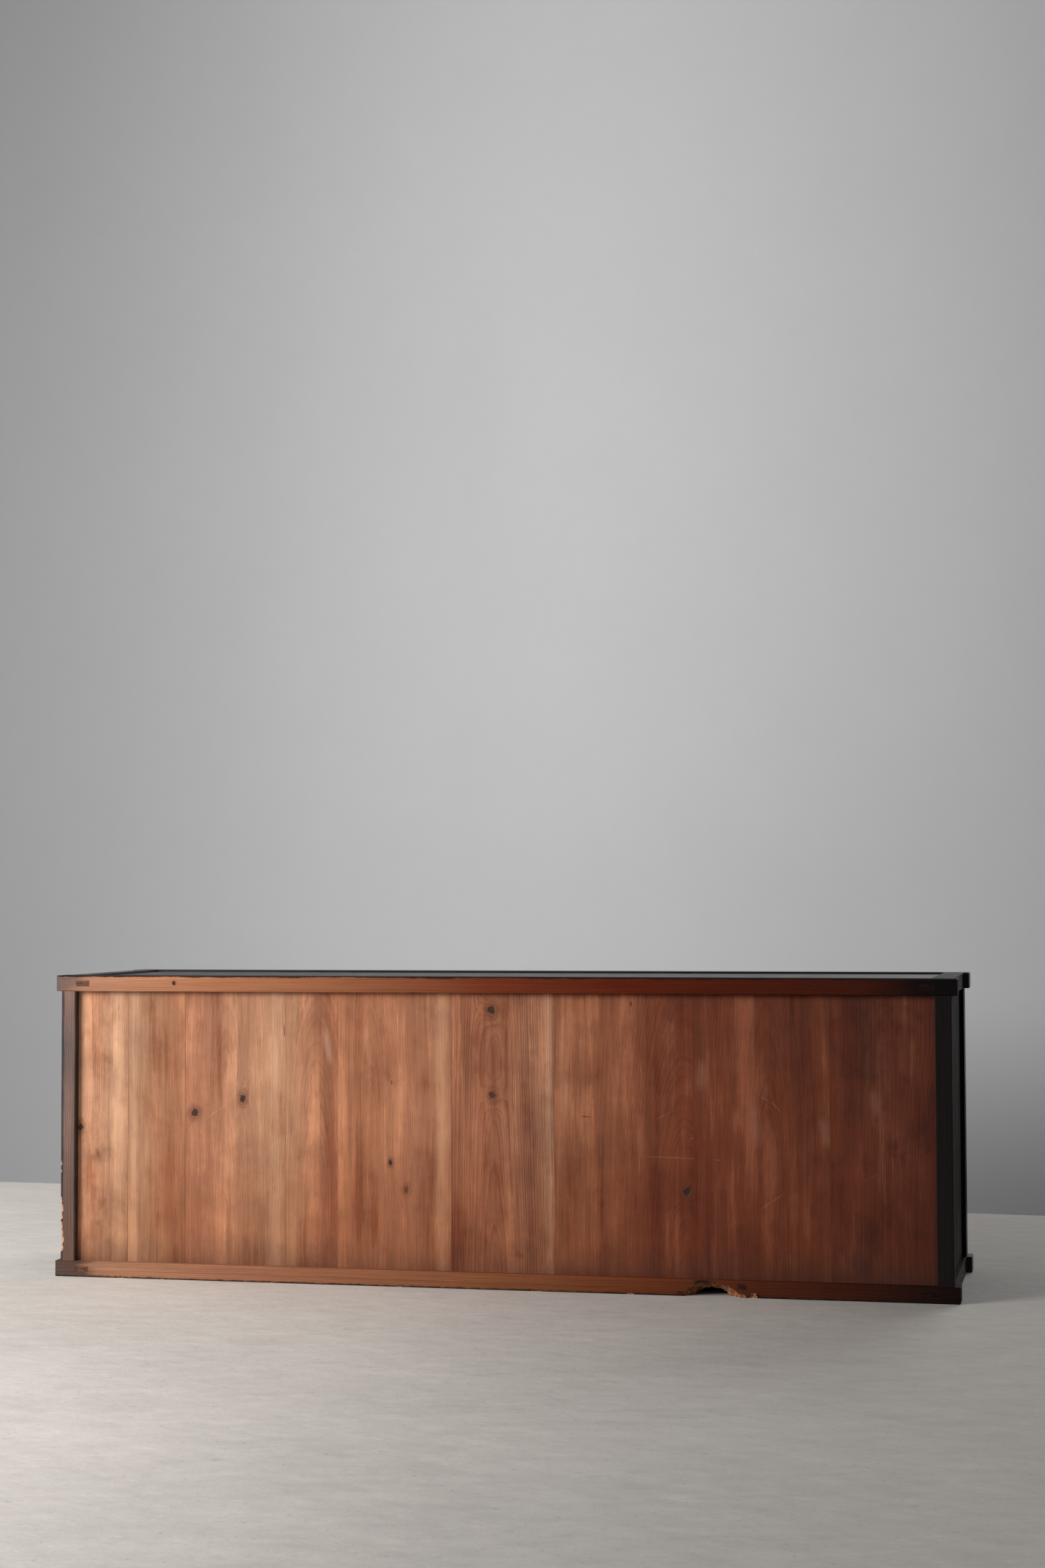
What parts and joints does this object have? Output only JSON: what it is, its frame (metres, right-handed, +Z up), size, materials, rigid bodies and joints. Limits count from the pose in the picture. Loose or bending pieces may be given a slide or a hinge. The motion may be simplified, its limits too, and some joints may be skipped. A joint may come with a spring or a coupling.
{
  "type": "low tansu chest",
  "caption": "Low tansu chest: horned lacquered frame, cedar plank back with a gnawed hole, sliding ribbed doors and drawers with iron bails.",
  "frame": {"origin": "on the floor, at the centre of the overall bounding box, iron bails included", "axes": "+Z up, -Y to the front with the doors and drawers, +X to the right as seen from the front"},
  "size_m": [1.762, 0.473, 0.591],
  "materials": {
    "black_lacquer": "worn black lacquer over wood",
    "side_lacquer": "black lacquer",
    "back_rail_wood": "bare stained wood, stained dark near the ends",
    "back_post_wood": "bare wood with thin dark wash",
    "back_cedar": "bare cedar, aged",
    "inner_cedar": "bare cedar",
    "door_lacquer": "wiped dark red-brown lacquer",
    "drawer_front_wood": "wiped dark red-brown lacquer",
    "paulownia": "bare paulownia",
    "forged_iron": "blackened forged iron"
  },
  "bodies": {
    "carcase": {"back_board_1": "back_cedar", "back_board_2": "back_cedar", "back_board_3": "back_cedar", "back_board_4": "back_cedar", "back_board_5": "back_cedar", "back_board_6": "back_cedar", "back_board_7": "back_cedar", "back_board_8": "back_cedar", "back_board_9": "back_cedar", "bottom_rail_back": "back_rail_wood", "bottom_rail_front": "black_lacquer", "bottom_rail_left": "black_lacquer", "bottom_rail_right": "black_lacquer", "cupboard_shelf": "inner_cedar", "drawer_kicker": "inner_cedar", "drawer_rails": "black_lacquer", "drawer_runners": "inner_cedar", "floor_boards": "inner_cedar", "floor_joists": "inner_cedar", "front_mullion": "black_lacquer", "inner_partition": "inner_cedar", "post_back_left": "back_post_wood", "post_back_right": "back_post_wood", "post_front_left": "black_lacquer", "post_front_right": "black_lacquer", "shelf_cleats": "inner_cedar", "side_panel_left": "side_lacquer", "side_panel_right": "side_lacquer", "top_battens": "inner_cedar", "top_boards": "side_lacquer", "top_rail_back": "back_rail_wood", "top_rail_front": "black_lacquer", "top_rail_left": "black_lacquer", "top_rail_right": "black_lacquer"},
    "door_left": {"door_left_panel": "door_lacquer", "door_left_pull": "forged_iron", "door_left_rails": "door_lacquer", "door_left_ribs": "door_lacquer", "door_left_stiles": "door_lacquer"},
    "door_right": {"door_right_panel": "door_lacquer", "door_right_pull": "forged_iron", "door_right_rails": "door_lacquer", "door_right_ribs": "door_lacquer", "door_right_stiles": "door_lacquer"},
    "drawer_1": {"drawer_1_bail_eyes": "forged_iron", "drawer_1_bottom": "paulownia", "drawer_1_front": "drawer_front_wood", "drawer_1_walls": "paulownia"},
    "bail_1": {"drawer_1_bail": "forged_iron"},
    "drawer_2": {"drawer_2_bail_eyes": "forged_iron", "drawer_2_bottom": "paulownia", "drawer_2_front": "drawer_front_wood", "drawer_2_walls": "paulownia"},
    "bail_2": {"drawer_2_bail": "forged_iron"},
    "drawer_3": {"drawer_3_bail_eyes": "forged_iron", "drawer_3_bottom": "paulownia", "drawer_3_front": "drawer_front_wood", "drawer_3_walls": "paulownia"},
    "bail_3": {"drawer_3_bail": "forged_iron"}
  },
  "joints": [
    {"name": "door_left_slide", "type": "slide", "parent": "carcase", "child": "door_left", "axis": [1, 0, 0], "range_m": [0, 0.541]},
    {"name": "door_right_slide", "type": "slide", "parent": "carcase", "child": "door_right", "axis": [-1, 0, 0], "range_m": [0, 0.541]},
    {"name": "drawer_1_slide", "type": "slide", "parent": "carcase", "child": "drawer_1", "axis": [0, -1, 0], "range_m": [0, 0.34]},
    {"name": "drawer_2_slide", "type": "slide", "parent": "carcase", "child": "drawer_2", "axis": [0, -1, 0], "range_m": [0, 0.34]},
    {"name": "drawer_3_slide", "type": "slide", "parent": "carcase", "child": "drawer_3", "axis": [0, -1, 0], "range_m": [0, 0.34]},
    {"name": "bail_1_hinge", "type": "hinge", "parent": "drawer_1", "child": "bail_1", "pos_m": [0.575, -0.23, 0.4983], "axis": [-1, 0, 0], "range_deg": [-6, 186]},
    {"name": "bail_2_hinge", "type": "hinge", "parent": "drawer_2", "child": "bail_2", "pos_m": [0.575, -0.23, 0.32808], "axis": [-1, 0, 0], "range_deg": [-6, 186]},
    {"name": "bail_3_hinge", "type": "hinge", "parent": "drawer_3", "child": "bail_3", "pos_m": [0.575, -0.23, 0.13619], "axis": [-1, 0, 0], "range_deg": [-6, 186]}
  ]
}
